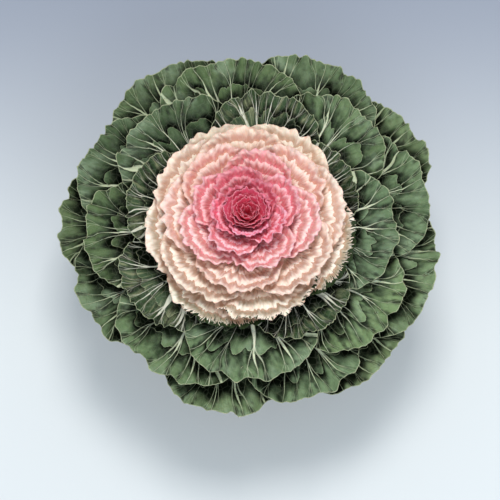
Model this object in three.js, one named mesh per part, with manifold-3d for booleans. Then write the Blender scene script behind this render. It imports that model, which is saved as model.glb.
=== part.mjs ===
// Ornamental kale in a nursery pot.
//
// Millimetres, +Z up, origin at the middle of the pot's flat base. A short stem stands in the soil and
// carries a rosette: two whorled colours of large leaves, each its own solid, round a tight heart of
// small leaves. Every leaf lies on its own layer, a surface of revolution between its root on the stem
// and its tip, and the layers are nested, so leaves overlap without touching.

import * as THREE from 'three';
import { mergeVertices } from 'three/addons/utils/BufferGeometryUtils.js';
import Module from 'manifold-3d';

const wasm = await Module();
wasm.setup();

// ---------------------------------------------------------------- driving dimensions, in millimetres

const GAP = 0.3; // clearance between two pieces that touch

const POT = { height: 100, baseRadius: 46, topRadius: 61, wall: 1.8, floor: 2.4, sides: 32 };
const RIM = { height: 18, radius: 66, step: 3.2 }; // the pot's stiffening band
const DRAIN = { holes: 5, radius: 4.5, circle: 28, sides: 10 };
const SOIL = { level: 86, edgeZ: 80, bottom: POT.floor + GAP, lump: 1.1 };
const STEM = { bottom: 56, radius: 12, neckZ: 114, topRadius: 4.4, topZ: 143, sides: 20 };

const COLOURED_LEAVES = 29; // pink and cream, leaf 0 is the innermost
const GREEN_LEAVES = 24;
const LEAF_COUNT = COLOURED_LEAVES + GREEN_LEAVES;
const GOLDEN_ANGLE = Math.PI * (3 - Math.sqrt(5)); // each leaf grows this far round from the one before

// The dome of coloured tips, and the skirt of green ones. Both lean: their edges are a share longer on one
// side of the heart, at leanTo degrees, than on the other. OVAL is the share they are longer along Y.
const CROWN = { z: 175, firstTip: 18.5, edgeRadius: 87.5, drop: 33, lean: 0.04, leanTo: -51 };
const SKIRT = { firstTip: 96, edgeRadius: 158, topZ: 139, edgeZ: 105, lean: 0.07, leanTo: 64 };
const OVAL = 0.02;
const ROOT = { topZ: 140.5, bottomZ: 96 }; // where the innermost and outermost leaves leave the stem

const BLADE_THICKNESS = 0.8;
const ROWS = [8, 12, 14, 28]; // steps round a blade on each row, from its midrib out to its margin
const ROW_REACH = [0, 0.5, 0.82, 1]; // how far each row lies from the midrib to the margin
const WIDEST_SHARE = 6 / 14; // the part of half an outline from its tip to its widest place
const NECK_SHARE = 10 / 14; // to the hollow curve of its neck
const BLADE_SHARE = 12 / 14; // and to where the stalk starts

// ---------------------------------------------------------------- small helpers

const radians = (degrees) => (degrees * Math.PI) / 180;
const mix = (a, b, share) => a + (b - a) * share;
const roundPower = (value, power) => Math.sign(value) * Math.abs(value) ** power;
// A steady variation from leaf to leaf, from -1 to 1, with one sequence for each kind.
const vary = (index, kind) => Math.sin(index * (2.39 + 0.71 * kind) + 1.7 * kind);

// ---------------------------------------------------------------- the leaves' layers

// The radius of the stem at a height: straight below the neck, then a rounded cone to its top.
function stemRadius(z) {
  const share = THREE.MathUtils.clamp((z - STEM.neckZ) / (STEM.topZ - STEM.neckZ), 0, 1);
  return mix(STEM.radius, STEM.topRadius, share);
}

// The section of a layer, as a cubic curve of radius and height from the stem to the tip.
function layerCurve(root, tip, rootAngle, tipAngle) {
  const reach = 0.36 * root.distanceTo(tip);
  const away = (angle, length) => new THREE.Vector2(Math.cos(angle), Math.sin(angle)).multiplyScalar(length);
  return new THREE.CubicBezierCurve(
    root, root.clone().add(away(rootAngle, reach)), tip.clone().sub(away(tipAngle, reach)), tip);
}

function colouredLeaf(index) {
  const share = index / (COLOURED_LEAVES - 1);
  const opening = 1 - (1 - share ** 1.25) ** 1.85; // tips crowd round the heart and at the crown's edge
  const tipRadius = mix(CROWN.firstTip, CROWN.edgeRadius, opening) + share * vary(index, 1);
  const tip = new THREE.Vector2(tipRadius, CROWN.z - CROWN.drop * share ** 1.5);
  const spread = radians(mix(66, 44, Math.min(1, 4 * share)));
  return {
    tip, spread, lean: CROWN.lean * share ** 2, leanTo: radians(CROWN.leanTo),
    rootAngle: radians(mix(80, 60, share)), tipAngle: radians(mix(62, 6, share ** 0.8)),
    neck: 0.26, widest: 0.64, rib: mix(0.5, 1.8, share), pleat: mix(2, 4.6, share ** 0.6),
  };
}

function greenLeaf(index) {
  const share = (index - COLOURED_LEAVES) / (GREEN_LEAVES - 1);
  const opening = 1 - (1 - share) ** 2.1;
  const tipRadius = mix(SKIRT.firstTip, SKIRT.edgeRadius, opening) + mix(1, 3.5, share) * vary(index, 1);
  const tip = new THREE.Vector2(tipRadius, mix(SKIRT.topZ, SKIRT.edgeZ, share) + 0.3 * vary(index, 3));
  const spread = radians(mix(35, 26, share) + 3 * vary(index, 4));
  return {
    tip, spread, lean: SKIRT.lean * share ** 0.7, leanTo: radians(SKIRT.leanTo),
    rootAngle: radians(mix(57, 18, share)), tipAngle: radians(mix(8, -12, share)),
    neck: mix(0.28, 0.34, share), widest: mix(0.66, 0.72, share), rib: mix(1.9, 2.6, share), pleat: 4.8,
  };
}

// One leaf: its layer's section, its direction round the stem and the sizes of its outline.
function leaf(index) {
  const rootZ = mix(ROOT.topZ, ROOT.bottomZ, (index / (LEAF_COUNT - 1)) ** 0.95);
  const root = new THREE.Vector2(stemRadius(rootZ) + GAP, rootZ);
  const shape = index < COLOURED_LEAVES ? colouredLeaf(index) : greenLeaf(index);
  const heading = index * GOLDEN_ANGLE + radians(2.5) * vary(index, 2);
  shape.tip.x *= 1 - OVAL * Math.cos(2 * heading) + shape.lean * Math.cos(heading - shape.leanTo);
  const section = layerCurve(root, shape.tip, shape.rootAngle, shape.tipAngle);
  return {
    ...shape, section, heading,
    halfWidth: shape.spread * section.getPoint(0.75).x,
    stalk: root.x * radians(mix(21, 26, index / LEAF_COUNT)),
  };
}

// The rosette isn't quite level: its edge rises and falls by a few millimetres.
function unevenness(radius, angle) {
  const share = (radius / SKIRT.edgeRadius) ** 2;
  return share * (2.2 * Math.sin(2 * angle + 0.8) + 1.8 * Math.sin(3 * angle + 2.1));
}

// A point of a leaf: across is millimetres sideways from the midrib, along is 0 at the stem and 1 at the
// tip, and lift is millimetres off the layer, upwards.
function leafPoint(shape, across, along, lift) {
  const point = shape.section.getPoint(along);
  const slope = shape.section.getTangent(along);
  const radius = point.x - slope.y * lift;
  const angle = shape.heading + across / point.x;
  const height = point.y + slope.x * lift + unevenness(radius, angle);
  return new THREE.Vector3(radius * Math.cos(angle), radius * Math.sin(angle), height);
}

// ---------------------------------------------------------------- leaf outlines and blades

// The margin of a leaf from its tip (0) to its root (1): a broad round blade that narrows into its stalk.
// from is where the side vein to that place leaves the midrib, as a share of the place's own along.
function outline(shape, share) {
  if (share > BLADE_SHARE)
    return { across: shape.stalk, along: shape.neck * (1 - share) / (1 - BLADE_SHARE), from: 0.93 };
  if (share > WIDEST_SHARE) {
    const down = (share - WIDEST_SHARE) / (BLADE_SHARE - WIDEST_SHARE);
    const width = 0.5 + 0.5 * Math.cos(down * Math.PI);
    return {
      across: mix(shape.stalk, shape.halfWidth, width),
      along: mix(shape.widest, shape.neck, down), from: mix(0.57, 0.93, down ** 0.6),
    };
  }
  const turn = (share / WIDEST_SHARE) * Math.PI / 2;
  return {
    across: shape.halfWidth * Math.sin(turn) ** 0.75,
    along: mix(shape.widest, 1, roundPower(Math.cos(turn), 0.62)), from: mix(0.7, 0.57, share / WIDEST_SHARE),
  };
}

// How high the margin's pleats stand at a place along it: most at the tip, and never quite alike.
function pleatHeight(shape, side) {
  const nearTip = 0.5 + 0.5 * Math.cos(Math.min(Math.abs(side) / BLADE_SHARE, 1) * Math.PI);
  return shape.pleat * nearTip ** 2 * (1 + 0.25 * Math.sin(12.6 * side + 5 * shape.heading));
}

// One vertex of a blade: side -1 to 1 goes along the margin from root to root, reach 0 to 1 from the
// midrib to the margin. Every other step of the margin is pleated up, and the midrib is a rib below.
function bladeVertex(shape, side, reach, pleatUp, underside) {
  const share = Math.abs(side);
  const edge = outline(shape, share);
  const across = Math.sign(side) * edge.across * reach;
  const along = edge.along * mix(edge.from, 1, reach);
  const lift = pleatUp ? pleatHeight(shape, side) : 0;
  const rib = shape.rib * (1 - along) ** 1.4 * (1 - reach) ** 2;
  return leafPoint(shape, across, along, lift - (underside ? BLADE_THICKNESS + rib : 0));
}

// Triangles between two rows of different step counts, always advancing the row that lags.
function joinRows(innerStart, innerSteps, outerStart, outerSteps) {
  const triangles = [];
  let [inner, outer] = [0, 0];
  while (inner < innerSteps || outer < outerSteps) {
    const outerNext = (outer + 0.5) / outerSteps <= (inner + 0.5) / innerSteps;
    if (inner === innerSteps || (outer < outerSteps && outerNext)) {
      triangles.push([innerStart + inner, outerStart + outer, outerStart + outer + 1]);
      outer += 1;
    } else {
      triangles.push([innerStart + inner, outerStart + outer, innerStart + inner + 1]);
      inner += 1;
    }
  }
  return triangles;
}

// A leaf blade as a closed thin solid: two faces split alike, joined by a wall round the edge.
function bladeGeometry(shape, rows = ROWS, reaches = ROW_REACH) {
  const starts = rows.map((_, row) => rows.slice(0, row).reduce((sum, steps) => sum + steps + 1, 0));
  const last = rows.length - 1;
  const vertex = (row, step, underside) => {
    const side = (2 * step) / rows[row] - 1;
    const between = row === last && step % 2 === 1;
    if (between && Math.abs(side) > NECK_SHARE) // the hollow of the neck is straight, outside the inner rows
      return vertex(row, step - 1, underside).lerp(vertex(row, step + 1, underside), 0.5);
    return bladeVertex(shape, side, reaches[row], between, underside);
  };
  const face = (underside) => rows.flatMap((steps, row) =>
    Array.from({ length: steps + 1 }, (_, step) => vertex(row, step, underside)));
  const points = [...face(false), ...face(true)];
  const under = points.length / 2;
  const top = rows.slice(1).flatMap((steps, row) =>
    joinRows(starts[row], rows[row], starts[row + 1], steps));
  const margin = Array.from({ length: rows[last] + 1 }, (_, step) => starts[last] + step);
  const rootEdge = starts.slice(1, last).map((start, row) => start + rows[row + 1]).reverse();
  const otherEdge = starts.slice(1, last);
  const rim = [...margin, ...rootEdge, starts[0], ...otherEdge, margin[0]];
  const wall = rim.slice(1).flatMap((next, step) =>
    [[rim[step], rim[step] + under, next], [next, rim[step] + under, next + under]]);
  const faces = [...top, ...top.map(([a, b, c]) => [a + under, c + under, b + under]), ...wall];
  return solidGeometry(points, faces);
}

// Points and triangles as one closed geometry, with the doubled midrib merged and faces turned outwards.
function solidGeometry(points, faces) {
  const raw = new THREE.BufferGeometry().setFromPoints(points);
  raw.setIndex(faces.flat());
  const merged = mergeVertices(raw, 1e-4);
  return volume(merged) < 0 ? flipped(merged) : merged;
}

function volume(geometry) {
  const corner = (n) => new THREE.Vector3().fromBufferAttribute(geometry.attributes.position, n);
  let total = 0;
  for (let n = 0; n < geometry.index.count; n += 3) {
    const [a, b, c] = [0, 1, 2].map((k) => corner(geometry.index.getX(n + k)));
    total += a.dot(b.cross(c)) / 6;
  }
  return total;
}

function flipped(geometry) {
  const order = Array.from(geometry.index.array);
  for (let n = 0; n < order.length; n += 3) [order[n], order[n + 1]] = [order[n + 1], order[n]];
  return geometry.setIndex(order);
}

// ---------------------------------------------------------------- solids that need a boolean

// A closed geometry as a manifold-3d solid, and back again.
function toSolid(geometry) {
  const bare = geometry.clone();
  bare.deleteAttribute('normal');
  bare.deleteAttribute('uv');
  const merged = mergeVertices(bare, 1e-4);
  return new wasm.Manifold(new wasm.Mesh({
    numProp: 3,
    vertProperties: merged.attributes.position.array,
    triVerts: new Uint32Array(merged.index.array),
  }));
}

function toGeometry(solid) {
  const mesh = solid.getMesh();
  return new THREE.BufferGeometry()
    .setAttribute('position', new THREE.BufferAttribute(mesh.vertProperties, 3))
    .setIndex(new THREE.BufferAttribute(mesh.triVerts, 1));
}

// A profile of [radius, height] points turned about the Z axis.
function turned(profile, sides) {
  return new THREE.LatheGeometry(profile.map(([r, z]) => new THREE.Vector2(r, z)), sides).rotateX(Math.PI / 2);
}

// ---------------------------------------------------------------- pot, soil and stem

function potGeometry() {
  const bandZ = POT.height - RIM.height;
  const shell = turned([
    [0, 0], [POT.baseRadius - 1.5, 0], [POT.baseRadius, 1.5],
    [POT.topRadius, bandZ], [RIM.radius - 1.4, bandZ + 1], [RIM.radius, POT.height - 0.8],
    [RIM.radius - 0.8, POT.height], [RIM.radius - POT.wall, POT.height - 0.6],
    [RIM.radius - RIM.step, bandZ + 2.4], [POT.topRadius - POT.wall, bandZ + 0.6],
    [POT.baseRadius - POT.wall, POT.floor], [0, POT.floor],
  ], POT.sides);
  const drill = new THREE.CylinderGeometry(DRAIN.radius, DRAIN.radius, 4 * POT.floor, DRAIN.sides)
    .rotateX(Math.PI / 2);
  let pot = toSolid(shell);
  for (let hole = 0; hole < DRAIN.holes; hole += 1) {
    const angle = (hole * 2 * Math.PI) / DRAIN.holes;
    pot = pot.subtract(toSolid(drill.clone()
      .translate(DRAIN.circle * Math.cos(angle), DRAIN.circle * Math.sin(angle), 0)));
  }
  return toGeometry(pot);
}

// The pot's inside radius at a height, below its band.
function potInside(z) {
  const bandZ = POT.height - RIM.height + 0.6;
  return mix(POT.baseRadius, POT.topRadius, (z - POT.floor) / (bandZ - POT.floor)) - POT.wall;
}

// Potting soil with a lumpy, slightly mounded top and a plain hole for the stem.
function soilGeometry() {
  const hole = STEM.radius + GAP;
  const edge = potInside(SOIL.edgeZ) - GAP;
  const topZ = (radius) => mix(SOIL.level, SOIL.edgeZ, ((radius - hole) / (edge - hole)) ** 2);
  const top = [edge, 51, 42, 32, 22, hole].map((radius) => [radius, topZ(radius)]);
  const floor = [[hole, SOIL.bottom], [potInside(SOIL.bottom) - 2 * GAP, SOIL.bottom]];
  const soil = turned([...floor, ...top, floor[0]], POT.sides);
  const place = soil.attributes.position;
  for (let n = 0; n < place.count; n += 1) {
    const [x, y, z] = [place.getX(n), place.getY(n), place.getZ(n)];
    const radius = Math.hypot(x, y);
    const loose = radius > hole + 1 && radius < edge - 1 && z > SOIL.bottom + 1;
    if (loose) place.setZ(n, z + SOIL.lump * Math.sin(x * 0.9 + 1) * Math.cos(y * 0.8));
  }
  return soil;
}

function stemGeometry() {
  return turned([
    [0, STEM.bottom], [STEM.radius - 2, STEM.bottom], [STEM.radius, STEM.bottom + 2],
    [STEM.radius, STEM.neckZ], [STEM.topRadius, STEM.topZ], [0, STEM.topZ],
  ], STEM.sides);
}

// ---------------------------------------------------------------- the heart

const HEART = { leaves: 13, baseRadius: 4, coreTop: 157, firstTip: 2.8, lastTip: 15.5, topZ: 173 };

// The heart: a slim core with a spiral of small upright leaves rooted in it, joined as one body.
function heartGeometry() {
  const bottom = STEM.topZ + GAP;
  let heart = toSolid(turned([
    [0, bottom], [HEART.baseRadius, bottom], [HEART.baseRadius + 0.6, bottom + 5],
    [HEART.baseRadius - 1, bottom + 10], [0, HEART.coreTop],
  ], 12));
  for (let index = 0; index < HEART.leaves; index += 1) {
    const share = (index + 0.5) / HEART.leaves;
    const root = new THREE.Vector2(mix(1.2, 3, share), mix(HEART.coreTop - 4, bottom + 3, share));
    const tip = new THREE.Vector2(
      mix(HEART.firstTip, HEART.lastTip, share), HEART.topZ - 6 * (1 - share) ** 2);
    const section = layerCurve(root, tip, radians(82), radians(mix(95, 66, share)));
    heart = heart.add(toSolid(bladeGeometry({
      section, heading: -(index + 1) * GOLDEN_ANGLE, halfWidth: radians(62) * section.getPoint(0.75).x,
      stalk: 1, neck: 0.12, widest: 0.6, rib: 0.2, pleat: 0.9,
    }, [4, 8, 16], [0, 0.72, 1])));
  }
  const [outside] = heart.decompose().sort((a, b) => b.volume() - a.volume()); // sealed hollows are filled
  return toGeometry(outside);
}

// ---------------------------------------------------------------- the assembly

const colours = {
  heart: 0xb5304f, pink: 0xe58aa0, cream: 0xf3d9bf, green: 0x4a6b4b,
  stem: 0x9db37a, soil: 0x2e231b, pot: 0xa65a3c,
};

function piece(name, geometry, colour, roughness = 0.6) {
  const material = new THREE.MeshStandardMaterial({ color: colour, roughness, metalness: 0 });
  const mesh = new THREE.Mesh(geometry, material);
  mesh.name = name;
  return mesh;
}

const kale = new THREE.Group();
kale.add(piece('pot', potGeometry(), colours.pot, 0.55));
kale.add(piece('soil', soilGeometry(), colours.soil, 1));
kale.add(piece('stem', stemGeometry(), colours.stem));
kale.add(piece('heart', heartGeometry(), colours.heart));

const PINK_LEAVES = 14; // the innermost of the coloured leaves
for (let index = 0; index < LEAF_COUNT; index += 1) {
  const [kind, first] = index < PINK_LEAVES ? ['pink', 0]
    : index < COLOURED_LEAVES ? ['cream', PINK_LEAVES] : ['green', COLOURED_LEAVES];
  const number = String(index - first + 1).padStart(2, '0');
  kale.add(piece(`${kind}_leaf_${number}`, bladeGeometry(leaf(index)), colours[kind]));
}

export default kale;
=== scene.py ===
# %% [markdown]
# # An ornamental kale in a nursery pot
# The plant is a rosette: a crimson heart, then pink, peach and cream leaves with ruffled margins, then
# broad green leaves with pale veins. The CAD model gives the leaves as coarse solids, each on its own
# layer. This script makes each of them again on a fine grid, on the same layer, and adds what a coarse
# solid can't hold: ruffles, teeth, veins, quilting and the colours of the tissue, some of them painted
# light and shade.

# %% Load the frame
from functools import partial
from math import cos, degrees, pi, radians, sin, sqrt
from types import SimpleNamespace as Sizes

import bpy
import numpy as np
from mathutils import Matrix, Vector


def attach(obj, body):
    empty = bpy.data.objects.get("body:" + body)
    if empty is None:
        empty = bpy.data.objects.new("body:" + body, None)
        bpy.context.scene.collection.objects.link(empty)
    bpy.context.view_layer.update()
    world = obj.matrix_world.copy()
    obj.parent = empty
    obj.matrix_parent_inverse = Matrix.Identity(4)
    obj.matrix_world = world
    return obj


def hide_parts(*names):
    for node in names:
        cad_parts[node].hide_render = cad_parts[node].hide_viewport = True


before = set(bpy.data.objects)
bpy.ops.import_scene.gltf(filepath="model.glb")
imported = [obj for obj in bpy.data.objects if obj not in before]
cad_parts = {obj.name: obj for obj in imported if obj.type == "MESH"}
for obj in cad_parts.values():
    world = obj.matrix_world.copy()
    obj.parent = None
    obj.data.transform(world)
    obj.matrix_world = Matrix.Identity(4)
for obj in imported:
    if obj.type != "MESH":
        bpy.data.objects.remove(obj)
scene = bpy.context.scene
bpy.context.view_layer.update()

# %% [markdown]
# ## The plan of the rosette
# These are the driving sizes, in millimetres, with the same names as in the CAD source. Leaves are
# numbered from the heart outwards. Each one grows a golden angle, about 137.5 degrees, round from the one
# before, so that no leaf stands straight over its neighbour.

# %% Driving sizes
MM = 0.001
GAP = 0.3
STEM = Sizes(bottom=56, radius=12, neck_z=114, top_radius=4.4, top_z=143)
CROWN = Sizes(z=175, first_tip=18.5, edge_radius=87.5, drop=33, lean=0.04, lean_to=-51)
SKIRT = Sizes(first_tip=96, edge_radius=158, top_z=139, edge_z=105, lean=0.07, lean_to=64)
ROOT = Sizes(top_z=140.5, bottom_z=96)
OVAL = 0.02
PINK_LEAVES = 14
COLOURED_LEAVES = 29
GREEN_LEAVES = 24
LEAF_COUNT = COLOURED_LEAVES + GREEN_LEAVES
GOLDEN_ANGLE = pi * (3 - sqrt(5))
TAU = 2 * pi
print("leaves:", LEAF_COUNT, "golden angle, degrees:", round(degrees(GOLDEN_ANGLE), 2))


# %% Small helpers
def mix(low, high, share):
    """The value that lies share of the way from low to high."""
    return low + (high - low) * share


def part(value, start, end):
    """How far a value is on its way from start to end, from 0 to 1."""
    return np.clip((value - start) / (end - start), 0, 1)


def ease(start, end, value):
    """0 before start, 1 after end and a smooth S between them: 3t^2 - 2t^3."""
    t = part(value, start, end)
    return t * t * (3 - 2 * t)


def vary(index, kind):
    """A steady variation from leaf to leaf, from -1 to 1, with one sequence for each kind."""
    return sin(index * (2.39 + 0.71 * kind) + 1.7 * kind)


def stacked(*parts):
    """Arrays of coordinates as one array of points, or of corners as one of faces."""
    return np.stack(parts, axis=-1)


def polar(points):
    """The angles and radii of points round the stem."""
    return np.arctan2(points[..., 1], points[..., 0]), np.hypot(points[..., 0], points[..., 1])


def ripple(arc, length, seed):
    """A wave that is never quite regular: two sines whose phase and height drift with slower ones."""
    drift = 1.7 * np.sin(TAU * arc / (3.1 * length) + 2.1 * seed)
    drift = drift + 0.9 * np.sin(arc / length + 5.3 * seed)
    height = 0.65 + 0.35 * np.sin(TAU * arc / (4.3 * length) + 3.7 * seed)
    first = np.sin(TAU * arc / length + drift + seed)
    second = np.sin(TAU * arc / (0.57 * length) - 1.3 * drift + 2.9 * seed)
    return height * (0.78 * first + 0.34 * second)


# %% [markdown]
# ## Layers
# A leaf lies on a layer: a curve of radius and height from its root to its tip, turned round the stem's
# axis. The layers are nested like bowls, steep at the heart and flat at the skirt, so leaves that overlap
# never touch. The curve is a cubic Bezier, set by the angles at its two ends.


# %% The section of a layer
def layer_section(root, tip, root_angle, tip_angle):
    """The curve's four handles: root, tip, and one at 0.36 of their distance from each."""
    reach = 0.36 * np.hypot(*(tip - root))
    leaving = reach * np.array([cos(root_angle), sin(root_angle)])
    arriving = reach * np.array([cos(tip_angle), sin(tip_angle)])
    return np.array([root, root + leaving, tip - arriving, tip])


def on_section(handles, along):
    """Points and unit slopes of the cubic, weighted by (1-t)^3, 3t(1-t)^2, 3t^2(1-t) and t^3."""
    t = np.asarray(along, float)[..., None]
    a, b, c, d = handles
    point = a * (1 - t) ** 3 + 3 * b * t * (1 - t) ** 2 + 3 * c * t**2 * (1 - t) + d * t**3
    slope = (b - a) * (1 - t) ** 2 + 2 * (c - b) * t * (1 - t) + (d - c) * t**2
    return point, slope / np.linalg.norm(slope, axis=-1, keepdims=True)


def stem_radius(z):
    """Straight below the neck, then a cone to the stem's top."""
    return mix(STEM.radius, STEM.top_radius, part(z, STEM.neck_z, STEM.top_z))


# %% The sizes of each leaf
def coloured_leaf(index):
    """Pink and cream leaves: their tips crowd round the heart and at the crown's edge."""
    share = index / (COLOURED_LEAVES - 1)
    opening = 1 - (1 - share**1.25) ** 1.85
    tip_radius = mix(CROWN.first_tip, CROWN.edge_radius, opening) + share * vary(index, 1)
    return Sizes(
        tip=np.array([tip_radius, CROWN.z - CROWN.drop * share**1.5]),
        lean=CROWN.lean * share**2, lean_to=radians(CROWN.lean_to),
        spread=radians(mix(66, 44, min(1, 4 * share))),
        root_angle=radians(mix(80, 60, share)),
        tip_angle=radians(mix(62, 6, share**0.8)),
        neck=0.26, widest=0.64, rib=mix(0.5, 1.8, share), pleat=mix(2, 4.6, share**0.6),
    )


def green_leaf(index):
    """Green leaves: broad and nearly flat, wider apart near the skirt's inside."""
    share = (index - COLOURED_LEAVES) / (GREEN_LEAVES - 1)
    opening = 1 - (1 - share) ** 2.1
    tip_radius = mix(SKIRT.first_tip, SKIRT.edge_radius, opening) + mix(1, 3.5, share) * vary(index, 1)
    return Sizes(
        tip=np.array([tip_radius, mix(SKIRT.top_z, SKIRT.edge_z, share) + 0.3 * vary(index, 3)]),
        lean=SKIRT.lean * share**0.7, lean_to=radians(SKIRT.lean_to),
        spread=radians(mix(35, 26, share) + 3 * vary(index, 4)),
        root_angle=radians(mix(57, 18, share)),
        tip_angle=radians(mix(8, -12, share)),
        neck=mix(0.28, 0.34, share), widest=mix(0.66, 0.72, share), rib=mix(1.9, 2.6, share), pleat=4.8,
    )


def root_height(index):
    """Where on the stem a leaf grows."""
    return mix(ROOT.top_z, ROOT.bottom_z, (index / (LEAF_COUNT - 1)) ** 0.95)


def leaf_shape(index):
    """One leaf: its layer's section, its heading and the sizes of its outline."""
    shape = coloured_leaf(index) if index < COLOURED_LEAVES else green_leaf(index)
    root_z = root_height(index)
    root = np.array([stem_radius(root_z) + GAP, root_z])
    shape.index = index
    shape.heading = index * GOLDEN_ANGLE + radians(2.5) * vary(index, 2)
    leaning = shape.lean * cos(shape.heading - shape.lean_to)
    shape.tip[0] *= 1 - OVAL * cos(2 * shape.heading) + leaning
    shape.section = layer_section(root, shape.tip, shape.root_angle, shape.tip_angle)
    shape.half_width = shape.spread * on_section(shape.section, 0.75)[0][0]
    shape.stalk = root[0] * radians(mix(21, 26, index / LEAF_COUNT))
    return shape


def unevenness(radius, angle):
    """The rosette isn't level: its edge rises and falls by a few millimetres."""
    share = (radius / SKIRT.edge_radius) ** 2
    return share * (2.2 * np.sin(2 * angle + 0.8) + 1.8 * np.sin(3 * angle + 2.1))


def on_layer(shape, across, along, lift):
    """Points of a leaf: across mm from its midrib, along 0 to 1 to its tip, lift mm upwards."""
    point, slope = on_section(shape.section, along)
    radius = point[..., 0] - slope[..., 1] * lift
    angle = shape.heading + across / point[..., 0]
    height = point[..., 1] + slope[..., 0] * lift + unevenness(radius, angle)
    return stacked(radius * np.cos(angle), radius * np.sin(angle), height)


# %% [markdown]
# ## The grid of a blade
# A blade is a fan. Columns run from the midrib out to the margin, as the side veins do, and rows run
# round the blade alike with the margin. `side` goes from -1 to 1 along the margin, with the tip at 0, and
# `reach` goes from 0 on the midrib to 1 on the margin. Veins, ruffles and teeth are then all simple
# functions of these two numbers.

# %% The outline and the fan
WIDEST_SHARE = 6 / 14
BLADE_SHARE = 12 / 14
FAN_START = Sizes(tip=0.47, widest=0.68, neck=0.93)  # a side vein's start over its end's along


def outline(shape, share):
    """The margin from tip (0) to root (1), and where on the midrib each side vein starts.

    A round end, whose width grows as sin^0.75, then a neck that narrows on a cosine, then the stalk.
    """
    round_end = part(share, 0, WIDEST_SHARE)
    turn = round_end * pi / 2
    down, in_stalk = part(share, WIDEST_SHARE, BLADE_SHARE), part(share, BLADE_SHARE, 1)
    end_across = shape.half_width * np.sin(turn) ** 0.75
    end_along = mix(shape.widest, 1, np.clip(np.cos(turn), 0, 1) ** 0.62)
    neck_across = mix(shape.stalk, shape.half_width, 0.5 + 0.5 * np.cos(down * pi))
    neck_along = mix(shape.widest, shape.neck, down)
    before, after = share <= WIDEST_SHARE, share > BLADE_SHARE
    across = np.where(before, end_across, neck_across)
    along = np.where(before, end_along, np.where(after, shape.neck * (1 - in_stalk), neck_along))
    widest_start = shape.widest * FAN_START.widest
    end_start = mix(FAN_START.tip, widest_start, round_end)
    neck_start = mix(widest_start, shape.neck * FAN_START.neck, down**1.35)
    start = np.where(before, end_start, np.where(after, along * FAN_START.neck, neck_start))
    return across, along, start


def near_tip(side):
    """1 at the tip and 0 where the stalk starts, on a cosine."""
    return 0.5 + 0.5 * np.cos(np.minimum(np.abs(side) / BLADE_SHARE, 1) * pi)


def column_places(columns):
    """Places of the columns from -1 to 1, crowded towards the tip, which can be seen."""
    even = np.linspace(-1, 1, 2 * (columns // 2) + 1)
    return 0.62 * even + 0.38 * np.sign(even) * np.abs(even) ** 2.6


# %% [markdown]
# ## Ruffles, teeth, veins and quilting
# Kale margins grow faster than the blade, so they buckle: long pleats, ruffles on these, and teeth on
# the very edge. Side veins run in shallow valleys, fork in threes on their way out, and the tissue
# between them swells like a quilt. Each of these is a wave along the margin that fades inwards. The table
# gives their heights, lengths and fades, in millimetres, on the five kinds of leaf.

# %% The finish of each kind of leaf
LEAF_KINDS = ("heart", "pink", "cream", "collar", "green")


def by_kind(**table):
    """One set of values for each kind of leaf, from rows in the order of LEAF_KINDS."""
    columns = zip(*table.values())
    return {kind: Sizes(**dict(zip(table, column))) for kind, column in zip(LEAF_KINDS, columns)}


KINDS = by_kind(
    columns=(100, 176, 224, 224, 192),
    rows=(8, 21, 21, 21, 21),
    crowding=(1.9, 1.6, 1.6, 1.6, 1.6),  # of the rows towards the margin
    vein_every=(3, 5.5, 6.5, 6.2, 9.4),
    wobble=(0, 0, 0, 0.09, 0.1),  # of a vein, as a share of vein_every
    quilt=(0.08, 0.35, 0.4, 1.2, 1.8),
    valley=(0.05, 0.1, 0.12, 0.5, 0.6),
    scallop=(0.1, 0.2, 0.2, 1.2, 1.1),
    lobe=(1.6, 1.7, 2, 2, 3),
    lobe_length=(7, 13, 17, 21, 33),
    swell=(0, 1.8, 2.4, 2.6, 2.8),
    swell_length=(20, 16, 21, 29, 36),
    swell_fade=(6, 9, 11, 22, 30),
    ruffle=(1, 1.15, 1.35, 2.8, 2.4),
    ruffle_length=(4.2, 7.4, 8.6, 9.4, 15),
    ruffle_fade=(2.5, 4.5, 5, 9, 14),
    frill=(0.35, 0.3, 0.35, 1, 0.8),
    frill_length=(2.1, 3.8, 4.2, 4.2, 5.6),
    frill_fade=(1.2, 2.4, 2.6, 3.5, 6),
    tooth=(0.4, 0.75, 0.8, 0.5, 0.3),
    tooth_length=(1.5, 1.8, 2, 2.4, 3),
    tooth_fade=(0.7, 0.9, 1, 1, 1.2),
    cockle=(0, 0.7, 0.8, 0.7, 1.1),
    cockle_length=(4, 6, 7.5, 7, 10),
    tier=(0.5, 1.8, 2.1, 2.2, 3),
    tier_length=(6, 9, 10, 15, 23),
    wander=(0.26, 0.26, 0.26, 0.3, 0.4),  # of a tier's edge, as a share of its length
    fray=(0.12, 0.1, 0.1, 0.07, 0.05),  # the same, in shorter waves
    dish=(0.2, 0.6, 0.7, 0.5, 0.3),
    dish_at=(4, 9, 9, 18, 22),
    flare=(-0.5, -1.2, -0.5, 2.4, 2),
    flare_fade=(1.8, 3.5, 3.5, 6, 8),
    sink=(1, 1, 1, 0.8, 0.75),  # the share of a hollow's depth that is kept
    hold=(0.6, 0.6, 0.6, 0.9, 1.1),  # how fast all waves fade from the tip to the stalk
    relief=(1.1, 1.8, 2, 2, 2.3),  # the rise that makes a full crest
    rim=(0.3, 0.35, 0.35, 0.4, 0.4),  # the margin's thickness
)
print("values for each kind of leaf:", len(vars(KINDS["green"])))


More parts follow.
